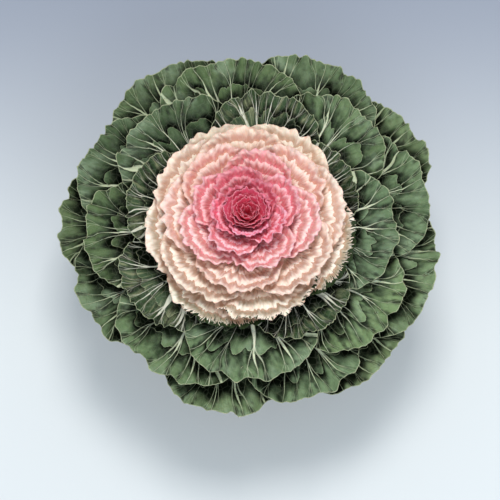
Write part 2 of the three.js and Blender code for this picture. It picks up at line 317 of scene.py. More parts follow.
# %% Veins across the fan
def vein_pattern(shape, kind, arc, reach, spacing):
    """Vein numbers, fork shares and the distance to the nearest vein, in mm.

    The number is the arc over the spacing of veins, warped, bent on the way out as sin(pi reach), and
    wobbled. Every third one is a main vein. The two beside it leave it at a fork: their number is the
    main one's, plus or minus a share that grows from 0 to about 1.
    """
    number = arc / kind.vein_every + 0.3 * np.sin(arc / (2.3 * kind.vein_every) + 4.1 * shape.index)
    bend = 0.7 * np.sin(arc / (1.7 * kind.vein_every) + 2.7 * shape.index) * np.sin(pi * reach)
    wobble = kind.wobble * np.sin(13 * reach + 1.9 * arc / kind.vein_every + 3.1 * shape.index)
    number = number + bend + wobble * ease(0.1, 0.5, reach) + 0.5 * sin(2.2 * shape.index)
    main = 3 * np.round(number / 3)
    fork_at = 0.47 + 0.22 * np.sin(2.9 * main + 1.3 * shape.index)
    opened = 0.95 + 0.2 * np.sin(1.7 * main + shape.index)
    fork = opened * part(reach, fork_at, 1) ** 0.85
    from_main = np.abs(number - main)
    distance = np.minimum(from_main, np.abs(from_main - fork)) * spacing
    return number, fork, distance


def tiers(kind, seed, arc, edge):
    """Folds alike with the margin, like shingles: how many tiers inwards a place lies, and its rise.

    Outwards a tier rises in a straight line and drops in its last seventh. The drops wander along the
    margin by two ripples. The margin itself isn't a drop.
    """
    length = kind.tier_length
    wander = kind.wander * ripple(arc, 1.6 * length, seed + 0.7)
    wander = wander + kind.fray * ripple(arc, 0.5 * length, seed + 0.4)
    tier = np.maximum(edge / length + wander * ease(0.2, 0.8, edge / length), 0)
    within = tier - np.floor(tier)
    return tier, (1 - within) * np.where(tier > 0.6, ease(0, 0.14, within), 1)


def pleat_lift(shape, side, reach):
    """The CAD model's pleats: a wave with a crest on every odd fourteenth of the margin."""
    height = shape.pleat * near_tip(side) ** 2 * (1 + 0.25 * np.sin(12.6 * side + 5 * shape.heading))
    return height * (0.5 - 0.5 * np.cos(14 * pi * side)) * reach**4


def blade_lift(shape, kind, side, arc, reach, edge, distance, rise):
    """Millimetres that the upper face stands off its layer, and how near a crest it is, from 0 to 1, which
    the material turns into a painted highlight on crests and painted shade in hollows.

    Pleats, a swell, ruffles and frills, each fading as exp(-edge / fade), a dish inside the margin, a
    flare on it, tissue that swells between veins and sinks along them, cockles, which are a sine along
    the margin times a sine away from it, and tiers. Hollows w become (1 - sink) sqrt(w^2 + 1/4) + sink w,
    so that the leaf below doesn't show through.
    """
    seed = shape.index
    swell = kind.swell * ripple(arc, kind.swell_length, seed + 0.9) * np.exp(-edge / kind.swell_fade)
    ruffle = kind.ruffle * ripple(arc, kind.ruffle_length, seed) * np.exp(-edge / kind.ruffle_fade)
    frill = kind.frill * ripple(arc, kind.frill_length, seed + 0.5) * np.exp(-edge / kind.frill_fade)
    flare = kind.flare * np.exp(-edge / kind.flare_fade)
    dish = kind.dish * (edge / kind.dish_at) * np.exp(1 - edge / kind.dish_at)
    turns = TAU / kind.cockle_length
    cockle = kind.cockle * np.sin(turns * arc + 1.6 * np.sin(0.4 * turns * edge + seed))
    cockle = cockle * np.sin(0.8 * turns * edge + 1.4 * np.sin(0.37 * turns * arc + 2.3 * seed))
    tier = kind.tier * (rise - 0.5)
    bulge = (1 - np.exp(-((distance / 1.9) ** 2))) * ease(0.05, 0.4, reach)
    valley = kind.valley * np.exp(-((distance / 0.7) ** 2)) * ease(0.02, 0.2, reach)
    crest = ease(-1, 1, (ruffle + frill + cockle + kind.quilt * (bulge - 0.6)) / kind.relief)
    waves = (swell + ruffle + frill + flare + cockle + tier - dish) * near_tip(side) ** kind.hold
    waves = mix(np.sqrt(waves**2 + 0.25), waves, kind.sink)
    return 0.75 * pleat_lift(shape, side, reach) + waves + kind.quilt * bulge - valley, crest


def margin_push(shape, kind, side, arc, edge, number, rise):
    """Millimetres outwards in the leaf's layer: lobes, scallops, leaning ruffles, teeth and tiers."""
    seed = shape.index
    lobe = kind.lobe * ripple(arc, kind.lobe_length, seed + 0.3)
    lobe = lobe * np.exp(-edge / (0.3 * kind.lobe_length))
    between_veins = 0.6 - np.abs(np.cos(pi * number)) ** 0.7
    scallop = kind.scallop * between_veins * np.exp(-edge / (0.5 * kind.vein_every))
    quarter = arc + kind.ruffle_length / 4
    lean = 0.2 * kind.ruffle * ripple(quarter, kind.ruffle_length, seed) * np.exp(-edge / 4)
    uneven = 0.5 + 0.5 * np.sin(arc / (1.3 * kind.tooth_length) + seed)
    teeth = ripple(arc, kind.tooth_length, seed + 0.2) * uneven * np.exp(-edge / kind.tooth_fade)
    overhang = 0.6 * kind.tier * rise * ease(0.2, 0.6, edge / kind.tier_length)
    return (lobe + scallop + lean + kind.tooth * teeth + overhang) * near_tip(side) ** kind.hold


# %% The two faces of a blade
def blade_grid(shape, kind):
    """Both faces as arrays of rows by columns, with what the materials need at each vertex."""
    side = column_places(kind.columns)
    across, along, start = outline(shape, np.abs(side))
    length = np.hypot(*(shape.section[3] - shape.section[0]))
    margin = stacked(np.sign(side) * across, along * length)
    arc = np.concatenate([[0], np.cumsum(np.hypot(*np.diff(margin, axis=0).T))])
    arc -= arc[len(arc) // 2]
    along_margin = np.gradient(margin, axis=0)
    outwards = stacked(-along_margin[:, 1], along_margin[:, 0])
    outwards /= np.maximum(np.linalg.norm(outwards, axis=-1, keepdims=True), 1e-6)

    reach = (1 - np.linspace(1, 0, kind.rows) ** kind.crowding)[:, None]
    edge = (1 - reach) * np.hypot(across, (along - start) * length)
    flat = stacked(margin[:, 0] * reach, mix(start, along, reach) * length)
    beside = np.gradient(flat, axis=1)
    mm_beside = np.hypot(beside[..., 0], beside[..., 1])
    spacing = mm_beside * kind.vein_every / np.maximum(np.gradient(arc), 1e-6)
    number, fork, distance = vein_pattern(shape, kind, arc, reach, spacing)
    tier, rise = tiers(kind, shape.index, arc, edge)
    lift, crest = blade_lift(shape, kind, side, arc, reach, edge, distance, rise)
    moved = flat + outwards * margin_push(shape, kind, side, arc, edge, number, rise)[..., None]
    across_mm, along_share = moved[..., 0], np.clip(moved[..., 1] / length, 0, 1.1)
    rib = shape.rib * np.clip(1 - mix(start, along, reach), 0, 1) ** 1.4 * (1 - reach) ** 2
    thickness = mix(kind.rim, 0.8, ease(1, 12, edge)) + rib
    return Sizes(
        top=on_layer(shape, across_mm, along_share, lift),
        under=on_layer(shape, across_mm, along_share, lift - thickness),
        number=number, fork=fork, spacing=spacing, reach=np.broadcast_to(reach, fork.shape),
        tier=tier, crest=crest,
    )


print("first leaf's tip, mm:", np.round(leaf_shape(0).tip, 1))
print("last leaf's tip, mm:", np.round(leaf_shape(LEAF_COUNT - 1).tip, 1))

# %% [markdown]
# ## From grids to meshes
# Each blade becomes one closed mesh: the upper face, the under face turned over, and a thin wall round
# them. The two halves of the fan share their vertices on the midrib. The vein numbers go into a UV map, so
# that the material can draw thin veins exactly. Attributes hold forks, tiers, crests, pigments and more.


# %% A closed mesh of two like faces
def quads(grid):
    """The quads of a grid of vertex numbers."""
    return stacked(grid[:-1, :-1], grid[1:, :-1], grid[1:, 1:], grid[:-1, 1:]).reshape(-1, 4)


def blade_faces(rows, columns):
    """Quads of both faces and of the wall, for vertices row by row, upper face first."""
    layout = np.arange(rows * columns).reshape(rows, columns)
    layout[0] = np.minimum(layout[0], layout[0][::-1])  # the midrib is shared by both halves
    under = layout + rows * columns
    upper_face = quads(layout)
    rim, left, right = (
        quads(np.stack([layout[cut], under[cut]])) for cut in (np.s_[-1], np.s_[:, 0], np.s_[:, -1]))
    return np.concatenate([upper_face, upper_face[:, ::-1] + rows * columns, rim, left, right[:, ::-1]])


def put_in_scene(name, data):
    """A new object in the scene for a mesh, a light or a camera."""
    new = bpy.data.objects.new(name, data)
    scene.collection.objects.link(new)
    return new


def build_mesh(name, points, faces, corner_uv=None, values=None):
    """One object from arrays: points in mm, quads by vertex number, attributes by name."""
    used, faces = np.unique(faces, return_inverse=True)
    faces = faces.reshape(-1, 4)
    mesh = bpy.data.meshes.new(name)
    mesh.vertices.add(len(used))
    mesh.vertices.foreach_set("co", (points[used] * MM).astype(np.float32).ravel())
    mesh.loops.add(faces.size)
    mesh.loops.foreach_set("vertex_index", faces.astype(np.int32).ravel())
    mesh.polygons.add(len(faces))
    mesh.polygons.foreach_set("loop_start", np.arange(0, faces.size, 4, dtype=np.int32))
    mesh.polygons.foreach_set("use_smooth", np.ones(len(faces), dtype=bool))
    if corner_uv is not None:
        mesh.uv_layers.new(name="veins").data.foreach_set("uv", corner_uv.astype(np.float32).ravel())
    for label, numbers in (values or {}).items():
        form, field = ("FLOAT", "value") if numbers.ndim == 1 else ("FLOAT_COLOR", "color")
        attribute = mesh.attributes.new(label, form, "POINT")
        attribute.data.foreach_set(field, numbers[used].astype(np.float32).ravel())
    mesh.update(calc_edges=True)
    return put_in_scene(name, mesh)


def signed_volume(points, faces):
    """Six times a closed mesh's volume, positive when its faces point outwards."""
    a, b, c, d = (points[faces[:, corner]] for corner in range(4))
    return np.einsum("ij,ij->", a, np.cross(b, c)) + np.einsum("ij,ij->", a, np.cross(c, d))


def both_faces(numbers):
    """Values of the upper face, repeated for the under face."""
    return np.tile(np.asarray(numbers, float).ravel(), 2)


COVER_STEPS = 360
cover = np.zeros(COVER_STEPS)  # how far out the leaves made so far reach, in mm, in each direction


def margin_reach(points):
    """How far out points reach, in mm, in each of the COVER_STEPS directions."""
    angle, radius = polar(points)
    reach = np.zeros(COVER_STEPS)
    np.maximum.at(reach, (angle / TAU * COVER_STEPS).astype(int) % COVER_STEPS, radius)
    return reach


FLECKS_TOWARDS = radians(-60)  # the side of the rosette whose pale margins carry green flecks
FLECKED_LEAVES = (COLOURED_LEAVES - 10, COLOURED_LEAVES - 4)  # from none to all of them


def spread_pigments(pigments, count):
    """The same pigments at each of count vertices."""
    return {label: np.tile(pigments[label], (count, 1)) for label in ("margin", "inside", "vein")}


def leaf_arrays(shape, kind, pigments, fleck=0):
    """Vertices, quads, UVs and attributes of one blade.

    Flecks grow as a smooth step of the cosine of the angle from their side, and the vein colour turns
    to the rib's inwards. The gap is a place's radius less that of the leaves above it in its direction.
    """
    grid = blade_grid(shape, kind)
    points = np.concatenate([grid.top.reshape(-1, 3), grid.under.reshape(-1, 3)])
    faces = blade_faces(*grid.fork.shape)
    if signed_volume(points, faces) < 0:
        faces = faces[:, ::-1]
    uv = stacked(both_faces(grid.number)[faces], both_faces(grid.reach)[faces])
    angle, radius = polar(points)
    directions = (np.arange(COVER_STEPS) + 0.5) * TAU / COVER_STEPS
    gap = radius - np.interp(angle, directions, cover, period=TAU)
    to_rib = both_faces(1 - ease(0.35, 0.8, grid.reach))[:, None]
    values = {label: both_faces(getattr(grid, label)) for label in ("fork", "tier", "crest")}
    values |= spread_pigments(pigments, len(points)) | {
        "spacing": both_faces(np.minimum(grid.spacing, 40)), "gap": np.clip(gap, 0, 60),
        "fleck": fleck * ease(-0.1, 0.8, np.cos(angle - FLECKS_TOWARDS)),
        "under": np.repeat([0, 1], grid.fork.size),
        "vein": mix(pigments["vein"], pigments["rib"], to_rib),
    }
    return points, faces, uv, values


# %% [markdown]
# ## Pigments
# What changes from the heart to the skirt is the pigment. The youngest leaves are full of red
# anthocyanin, which thins out to pink and peach; then comes a zone with almost no pigment, cream; and
# then chlorophyll. Every leaf carries one colour for its margin and one for its inside, mixed between
# these stations. The darker inside is partly pigment and partly painted shade. Some leaves are also painted
# lighter, and others darker, by their heading: painted light and shade.


# %% Colour helpers and the pigment lists
def linear(hex_value):
    """An sRGB hex colour as linear RGBA: a straight foot below 0.04045, a 2.4 power above it."""
    srgb = np.array([int(hex_value[k:k + 2], 16) for k in (1, 3, 5)]) / 255
    rgb = np.where(srgb <= 0.04045, srgb / 12.92, ((srgb + 0.055) / 1.055) ** 2.4)
    return np.append(rgb, 1)


COLOURED_STATIONS = (0, 0.1, 0.2, 0.3, 0.45, 0.62, 0.8, 1)
COLOURED_MARGIN = ("#FA98AE", "#FAA6B8", "#FCBCC8", "#FED0D4", "#FFE0DC", "#FFECE2", "#FFF5E8", "#FEF9EC")
# The inside colours, here and for the green leaves below, are darker partly from pigment and partly as
# painted shade, where a leaf lies under the one above.
COLOURED_INSIDE = ("#EA627E", "#E86A82", "#DE707E", "#D67E82", "#D8928C", "#D6A69A", "#CAA996", "#B2A58C")
REDDER = 0.08  # how far the leaves at the back are behind their station, and those in front past it
SALMON = 0.1  # how much of their blue the leaves at the back lack, and those in front have more
GREEN_STATIONS = (0, 0.2, 0.6, 1)
GREEN_MARGIN = ("#586F4A", "#617A53", "#678058", "#708658")
GREEN_INSIDE = ("#25331D", "#273721", "#2C3C24", "#34442A")
GREEN_VEIN = ("#EEF0D8", "#D4DCBC", "#BCC8A4", "#ACB894")
FRESH_GREEN = linear("#8CA85C")
RIB = linear("#F6F6E2")
LIT_SIDE_TOWARDS = radians(-45)  # the green leaves on this side are painted paler, those opposite darker: a painted light and shade
PAINTED_SIDE_LIGHT = np.array([1.3, 1.22, 1.42, 1])  # the painted light: there they are paler and greyer
COLLAR_LEAVES = 5  # the first green leaves, green at their margin and pale yellow inside


def pigment(share, stations, colours):
    """The linear colour at a share from 0 to 1, mixed between its two nearest stations."""
    table = np.array([linear(colour) for colour in colours])
    return np.array([np.interp(share, stations, table[:, channel]) for channel in range(4)])


def coloured_pigments(index):
    """Pigments of a pink or cream leaf, by its number and its heading.

    Backness is 1 at the back and -1 in front. At the back leaves are redder and warmer. Besides, they are
    painted darker at the back, lighter in front near the heart and darker in front further out: a painted
    shade and light.
    """
    share = index / (COLOURED_LEAVES - 1)
    backness = sin(index * GOLDEN_ANGLE)
    # Painted shade and light: darker at the back, lighter in front near the heart and darker in front
    # further out.
    slope = max(0.28 - 0.68 * share, -0.2)
    if backness > 0:
        blue, painted_shading, at_margin = 1, max(slope, 0.06) * backness, 1
    else:
        blue, painted_shading, at_margin = max(1 - 2.4 * share, -0.5), slope * backness, float(slope > 0)
    salmon = np.array([1, 1, 1 - SALMON * blue * backness, 1])
    margin, inside = (
        np.minimum(pigment(share - REDDER * backness, COLOURED_STATIONS, colours) * salmon * (1 - dark), 1)
        for colours, dark in ((COLOURED_MARGIN, painted_shading * at_margin), (COLOURED_INSIDE, 1.5 * painted_shading)))
    return {"margin": margin, "inside": inside, "vein": mix(margin, RIB, 0.3), "rib": mix(margin, RIB, 0.5)}


def leaf_pigments(index):
    """The margin, inside, vein and rib colours of a leaf, by its number from the heart."""
    if index < COLOURED_LEAVES:
        return coloured_pigments(index)
    if index < COLOURED_LEAVES + COLLAR_LEAVES:
        return {"margin": linear("#364C2E"), "inside": linear("#B4B48C"), "vein": RIB, "rib": RIB}
    share = (index - COLOURED_LEAVES) / (GREEN_LEAVES - 1)
    # Painted light and shade: leaves towards the lit side are paler, those opposite darker.
    lit_side = 0.5 + 0.5 * cos(index * GOLDEN_ANGLE - LIT_SIDE_TOWARDS)
    fresh = 0.5 * max(0, vary(index, 5)) ** 2 * share
    margin, inside, vein = (
        pigment(share, GREEN_STATIONS, colours) for colours in (GREEN_MARGIN, GREEN_INSIDE, GREEN_VEIN))
    return {
        "margin": mix(margin, FRESH_GREEN, fresh) * mix(0.6, PAINTED_SIDE_LIGHT, lit_side),
        "inside": inside * mix(0.8, 1.1, lit_side), "vein": vein, "rib": mix(vein, RIB, 0.75),
    }


print("margin of the first leaf, linear:", np.round(leaf_pigments(0)["margin"], 3))

# %% [markdown]
# ## Leaf tissue
# Fresh kale is soft tissue under a satin, waxy skin. Light goes a millimetre or two into it, which is
# the subsurface part of the shader. All leaves share one plan of nodes: colour from the inside to the
# margin, mottling, pale waxy bloom, painted highlights on crests, painted shade in hollows, on the inside
# and under the leaf above, the net of small veins, the forked veins and the thin rim.


# %% Helpers for all materials
def add_node(tree, kind, inputs=(), output=0, **settings):
    """Adds a node with its settings, sets or links its inputs, and returns one of its outputs.

    Inputs are a dict by name or number, or a tuple in their order. A hex colour is made linear.
    """
    new = tree.nodes.new("ShaderNode" + kind)
    for name, value in settings.items():
        setattr(new, name, value)
    for key, value in inputs.items() if isinstance(inputs, dict) else enumerate(inputs):
        if isinstance(value, bpy.types.NodeSocket):
            tree.links.new(value, new.inputs[key])
        else:
            new.inputs[key].default_value = linear(value) if isinstance(value, str) else value
    return new.outputs[output] if len(new.outputs) else new


def new_material(name):
    """A material with an empty node tree, and the function that adds a node to it."""
    material = bpy.data.materials.new(name)
    material.use_nodes = True
    material.node_tree.nodes.clear()
    return material, partial(add_node, material.node_tree)


def span(value, start, end, low=0, high=1):
    """The inputs of a Map Range node: low where the value is start, high where it is end."""
    return {"Value": value, "From Min": start, "From Max": end, "To Min": low, "To Max": high}


def sized(place, size, **more):
    """The inputs of a texture node whose pattern measures about size mm."""
    return {"Vector": place, "Scale": 1 / (size * MM), **more}


SMOOTH = {"interpolation_type": "SMOOTHSTEP"}
PLUS, MINUS, TIMES, TIMES_PLUS, LARGER = (
    {"operation": name} for name in ("ADD", "SUBTRACT", "MULTIPLY", "MULTIPLY_ADD", "MAXIMUM"))


def painted(add, colour, *layers):
    """A colour with others laid over it in turn, each by a share.

    A share is a socket, the two factors of a product, or a span that is passed in a smooth step.
    """
    for share, other in layers:
        if isinstance(share, dict):
            share = add("MapRange", share, **SMOOTH)
        elif isinstance(share, tuple):
            share = add("Math", share, **TIMES)
        colour = add("Mix", {0: share, 6: colour, 7: other}, output=2, data_type="RGBA")
    return colour


def surface(add, relief, strength, height, inputs):
    """Ends a material: a Principled shader with these inputs and a bump of a height in mm."""
    bump = add("Bump", {"Height": relief, "Strength": strength, "Distance": height * MM})
    add("OutputMaterial", {"Surface": add("BsdfPrincipled", {**inputs, "Normal": bump})})


# %% The plan of leaf tissue
# Widths inside and at the margin, strength and swelling of main veins, their side veins and twigs.
VEIN_RANKS = ((2.2, 0.6, 1, 1), (1.2, 0.5, 0.7, 0.4), (0.8, 0.4, 0.45, 0))


def leaf_tissue(name, look, tier_length):
    """Soft leaf tissue under a satin skin, paler along its forked veins and its rim, with painted
    highlights on crests and painted shade in hollows and under the leaf above.
    """
    material, add = new_material(name)
    place = add("TexCoord", output="Object")
    numbers = add("UVMap", uv_map="veins")
    number, reach = add("SeparateXYZ", (numbers,)).node.outputs[:2]
    fork, spacing, tier, fleck, under, crest, gap = (
        add("Attribute", output="Fac", attribute_name=label)
        for label in ("fork", "spacing", "tier", "fleck", "under", "crest", "gap"))
    margin, inside, pale = (
        add("Attribute", output="Color", attribute_name=label) for label in ("margin", "inside", "vein"))

    # Mm inwards from the margin or a fold's edge, and mm outwards from the next edge or leaf above.
    edge = add("Math", (add("Math", (tier,), operation="FRACT"), tier_length), **TIMES)
    outside = add("Math", (edge, -1 / look.fold, tier_length / look.fold), **TIMES_PLUS)
    gap = add("Math", (outside, gap), operation="MINIMUM")
    at_margin = add("MapRange", span(tier, 0.8, 0.9, 1, look.fold))

    # Vein numbers away from the main vein, which is every third one, from its forks and their twigs.
    third = add("Math", (number, 3), operation="DIVIDE")
    main = add("Math", (add("Math", (third,), operation="ROUND"), 3), **TIMES)
    twig = add("MapRange", span(reach, look.twig_from, 1.02, 0, 0.3), **SMOOTH)
    away, numbers_off = number, []
    for vein_at in (main, fork, twig):
        away = add("Math", (add("Math", (away, vein_at), **MINUS),), operation="ABSOLUTE")
        numbers_off.append(away)

    # How full each vein is. Here and there a main vein is swollen near the leaf above.
    chance = add("TexWhiteNoise", {"W": main}, noise_dimensions="1D")
    boldness = add("MapRange", span(chance, 0, 1, 0.4, 1.3))
    roomy = add("MapRange", span(spacing, 1.5, 4), **SMOOTH)
    deep = add("MapRange", span(gap, 0, look.rib_reach, look.rib, 0), **SMOOTH)
    swollen = add("Math", (deep, add("Math", (chance, 3), operation="POWER")), **TIMES)
    lines = []
    for off, (wide, thin, strength, swelling) in zip(numbers_off, VEIN_RANKS):
        mm_off = add("Math", (off, spacing), **TIMES)
        widths = look.vein_width * wide, look.vein_width * thin
        half_width = add("MapRange", span(reach, 0.3, 1, *widths), **SMOOTH)
        half_width = add("Math", (half_width, boldness), **TIMES)
        half_width = add("Math", (swollen, swelling, half_width), **TIMES_PLUS)
        past = add("Math", (mm_off, half_width), **MINUS)
        lines.append(add("MapRange", span(past, -0.12, look.vein_soft, strength, 0), **SMOOTH))
    finer = add("Math", (add("Math", (lines[1], lines[2]), **LARGER), roomy), **TIMES)
    vein = add("Math", (lines[0], finer), **LARGER)

    # The net of small veins, mottled tissue, patches of wax, streaks along the veins and green flecks.
    cells = add("TexVoronoi", sized(place, look.net_size), output="Distance", feature="DISTANCE_TO_EDGE")
    net = add("MapRange", span(cells, 0, 0.09, 1, 0), **SMOOTH)
    mottle = add("TexNoise", sized(place, look.mottle_size, Detail=4))
    patch = add("TexNoise", sized(place, look.bloom_size, Detail=2))
    along_veins = add("VectorMath", (numbers, (look.streaks, 2, 0)), **TIMES)
    streaks = add("TexNoise", {"Vector": along_veins, "Scale": 1, "Detail": 3})
    spikes = add("VectorMath", (numbers, (6, 9, 0)), **TIMES)
    specks = add("TexNoise", {"Vector": spikes, "Scale": 1, "Detail": 1})
    near_edge = add("MapRange", span(tier, 0, 0.95, 0.74, 0.3), **SMOOTH)
    specks = add("Math", (near_edge, fleck, specks), **TIMES_PLUS)

    # Pockets under the leaf above, and under a fold's edge, get a painted shade, to an uneven line.
    pocket = add("Math", (patch, look.pocket, -0.5 * look.pocket), **TIMES_PLUS)
    pocket = add("Math", (gap, pocket), **PLUS)
    rim_ends = look.rim_width * 0.5, look.rim_width * 1.5
    at_rim = add("MapRange", span(edge, *rim_ends, look.rim, 0), **SMOOTH)

    colour = painted(
        add, margin,
        (span(mottle, 0.38, 0.68, 0, look.mottle), look.mottle_colour),
        (span(patch, 0.5, 0.66, 0, look.bloom), look.bloom_colour),
        (span(streaks, 0.48, 0.7, 0, look.streak), inside),
        # The darker inside colour: partly pigment, partly painted shade.
        (span(edge, *look.fade), inside),
        # Painted light and shade: crests take more of the margin colour, a painted highlight, and hollows a
        # dark colour, a painted shade.
        (span(crest, 0.5, 1, 0, look.crest), margin),
        (span(crest, 0.5, 0, 0, look.hollow), look.hollow_colour),
        (span(pocket, 0, look.shade_reach, look.shade, 0), look.hollow_colour),
        ((net, look.net), pale),
        ((vein, look.vein), pale),
        ((at_rim, at_margin), look.rim_colour),
        ((under, look.under), look.under_colour),
        (span(specks, 0.98, 1.04), FLECK_GREEN))

    # The skin's shine is lowered in the same painted shade.
    shine = add("MapRange", span(pocket, 0, look.shade_reach, 0.25 - 0.25 * look.shade, 0.25))
    relief = add("Math", (vein, -0.5), **TIMES)
    for pattern, rise in ((net, -0.25), (mottle, 0.8), (streaks, 0.8)):
        relief = add("Math", (pattern, rise, relief), **TIMES_PLUS)
    surface(add, relief, 0.8, look.bump, {
        "Base Color": colour, "Roughness": 0.5, "IOR": 1.42, "Specular IOR Level": shine,
        "Subsurface Weight": look.soft, "Subsurface Radius": (1, 0.4, 0.25), "Subsurface Scale": 0.3 * MM,
    })
    return material


# %% The look of each kind of leaf
FLECK_GREEN = "#28381E"
LOOKS = by_kind(
    fade=((0.3, 2.2), (1.5, 6.2), (2.2, 7.5), (12, 25), (6, 19)),  # from margin to the inside colour, mm; the inside is partly painted shade
    mottle_size=(3, 6, 7, 9, 9),
    mottle=(0.2, 0.25, 0.25, 0.45, 0.45),
    mottle_colour=("#DC5C74", "#EC8AA2", "#F4BEAC", "#2E4226", "#2E4226"),
    bloom_size=(12, 16, 17, 24, 24),
    bloom=(0, 0.2, 0.3, 0.1, 0.5),
    bloom_colour=("#C06070", "#FAC8D0", "#FEF0E8", "#8CA084", "#8CA084"),
    streaks=(3, 2.6, 2.4, 2.2, 2.2),
    streak=(0.3, 0.3, 0.35, 0.5, 0.5),
    net_size=(2.5, 4, 4.5, 5, 5),
    net=(0.03, 0.03, 0.03, 0.04, 0.04),
    vein=(0.1, 0.1, 0.12, 0.75, 0.95),
    vein_width=(0.12, 0.22, 0.26, 0.15, 0.19),
    vein_soft=(0.2, 0.4, 0.5, 0.26, 0.26),  # mm over which a vein's colour ends
    twig_from=(0.9, 0.85, 0.85, 0.8, 0.8),  # the reach at which the last forks open
    rib=(0, 0, 0, 1.3, 1.3),  # mm that a swollen vein is wider
    rib_reach=(5, 5, 5, 22, 22),
    rim=(0.55, 0.35, 0.4, 0.85, 0.85),
    rim_width=(0.24, 0.45, 0.45, 0.5, 0.5),
    rim_colour=("#F8B4C0", "#E07C90", "#DA9C88", "#B0B894", "#B0B894"),
    under=(0, 0.2, 0.2, 0.45, 0.45),
    under_colour=("#C85068", "#F0A0B0", "#F0D8C8", "#7E9279", "#7E9279"),
    # The next three rows: the share of painted highlight on crests, the share of painted shade in hollows,
    # and the colour of the painted shade.
    crest=(0.5, 0.45, 0.45, 0.6, 0.6),
    hollow=(0.4, 0.55, 0.45, 0.8, 0.8),
    hollow_colour=("#BE3050", "#EC6C88", "#CE9C80", "#040703", "#040703"),
    fold=(0.6, 0.7, 0.5, 0.5, 0.5),  # a fold's edge against the margin
    pocket=(0, 2, 2, 40, 40),  # mm that the shade's line wanders
    shade=(0.3, 0.25, 0.6, 0.98, 0.98),
    shade_reach=(2.2, 4, 4.5, 17, 14),
    bump=(0.3, 0.5, 0.5, 1.3, 1.3),
    soft=(0.15, 0.15, 0.15, 0.08, 0.08),  # the share of light that goes into the tissue
)
tissues = {
    kind: leaf_tissue(f"kale leaf tissue, {kind}", look, KINDS[kind].tier_length)
    for kind, look in LOOKS.items()}
print("leaf materials:", [material.name for material in tissues.values()])

# %% [markdown]
# ## The leaves
# Each of the 53 leaves is a piece of its own that replaces its coarse CAD solid and rides on the same
# body, so that a user can pick one off by its name.


# %% Make every leaf
def leaf_name(index):
    """The kind of a leaf and its CAD node's name, by its number from the heart."""
    if index < PINK_LEAVES:
        return "pink", f"pink_leaf_{index + 1:02d}"
    if index < COLOURED_LEAVES:
        return "cream", f"cream_leaf_{index - PINK_LEAVES + 1:02d}"
    number = index - COLOURED_LEAVES
    return "collar" if number < COLLAR_LEAVES else "green", f"green_leaf_{number + 1:02d}"


SHARP_FROM = radians(40)  # where two faces meet at more than this, their edge stays sharp


def hand_over(piece, node, material, sharp=False):
    """Gives a piece its material, declares what it rides on and replaces, and returns its face count.
    """
    piece.data.materials.append(material)
    if sharp:
        piece.data.set_sharp_from_angle(angle=SHARP_FROM)
    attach(piece, "root")
    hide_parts(node)
    return len(piece.data.polygons)


def add_leaf(index):
    """Builds one leaf, hands it over and returns its number of quads."""
    kind, node = leaf_name(index)
    fleck = part(index, *FLECKED_LEAVES) if kind == "cream" else 0
    points, *others = leaf_arrays(leaf_shape(index), KINDS[kind], leaf_pigments(index), fleck)
    cover[:] = np.maximum(cover, margin_reach(points))
    return hand_over(build_mesh(f"{node}_fine", points, *others), node, tissues[kind])


leaf_quads = sum(add_leaf(index) for index in range(LEAF_COUNT))
print("quads in all the leaves:", leaf_quads)

# %% [markdown]
# ## The heart
# Small leaves stand upright round a slim core and curl over each other. They are one piece, as in the CAD
# model, made with the same function as the large leaves.

# %% Make the heart
HEART = Sizes(leaves=17, base_radius=4, core_top=157, first_tip=2.4, last_tip=18.4, top_z=173)


def heart_leaf(number):
    """A small upright leaf: its root low on the core, its tip at the heart's top."""
    share = (number + 0.5) / HEART.leaves
    bottom = STEM.top_z + GAP
    root = np.array([mix(1.2, 3, share), mix(HEART.core_top - 4, bottom + 3, share)])
    tip_z = HEART.top_z - 6 * (1 - share) ** 2 + 1.3 * vary(number, 2)
    tip = np.array([mix(HEART.first_tip, HEART.last_tip, share) + 0.7 * vary(number, 1), tip_z])
    section = layer_section(root, tip, radians(82), radians(mix(95, 66, share)))
    return Sizes(
        index=100 + number, heading=-(number + 1) * GOLDEN_ANGLE, section=section,
        half_width=radians(62) * on_section(section, 0.75)[0][0],
        stalk=1, neck=0.12, widest=0.6, rib=0.2, pleat=0.9)


def heart_pigments(share):
    """From dark crimson in the middle to the colours of the first pink leaf."""
    margin, inside = (
        mix(linear(middle), linear(first), share)
        for middle, first in (("#F26A86", COLOURED_MARGIN[0]), ("#E2485E", COLOURED_INSIDE[0])))
    return {"margin": margin, "inside": inside, "vein": margin, "rib": margin}


def joined(parts):
    """Several sets of arrays as one, with their faces renumbered."""
    points, faces, uv, values = zip(*parts)
    starts = np.cumsum([0] + [len(block) for block in points[:-1]])
    faces = [block + start for block, start in zip(faces, starts)]
    values = {label: np.concatenate([block[label] for block in values]) for label in values[0]}
    return np.concatenate(points), np.concatenate(faces), np.concatenate(uv), values


def lathe(profile, sides, wobble=None, capped=True):
    """A profile of radius and height turned about the axis, as points and quads.

    A point is (r cos q, r sin q, z), moved by wobble where that is given. A capped profile is open, and
    a strip of quads fills each of its end rings. Otherwise the profile closes on itself.
    """
    profile = np.asarray(profile, float)
    angle = np.arange(sides) * TAU / sides
    radius, height = profile[:, :1], np.repeat(profile[:, 1:], sides, axis=1)
    grid = stacked(radius * np.cos(angle), radius * np.sin(angle), height)
    points = (grid if wobble is None else wobble(grid)).reshape(-1, 3)
    layout = np.arange(len(points)).reshape(-1, sides)
    rings = layout if capped else np.vstack([layout, layout[:1]])
    first, second = rings[:-1], rings[1:]
    faces = stacked(first, np.roll(first, -1, axis=1), np.roll(second, -1, axis=1), second)
    faces = faces.reshape(-1, 4)
    if capped:
        across = np.arange(sides // 2 - 1)
        strip = stacked(across, across + 1, sides - 2 - across, sides - 1 - across)
        faces = np.concatenate([faces, layout[0][strip][:, ::-1], layout[-1][strip]])
    return points, faces if signed_volume(points, faces) > 0 else faces[:, ::-1]


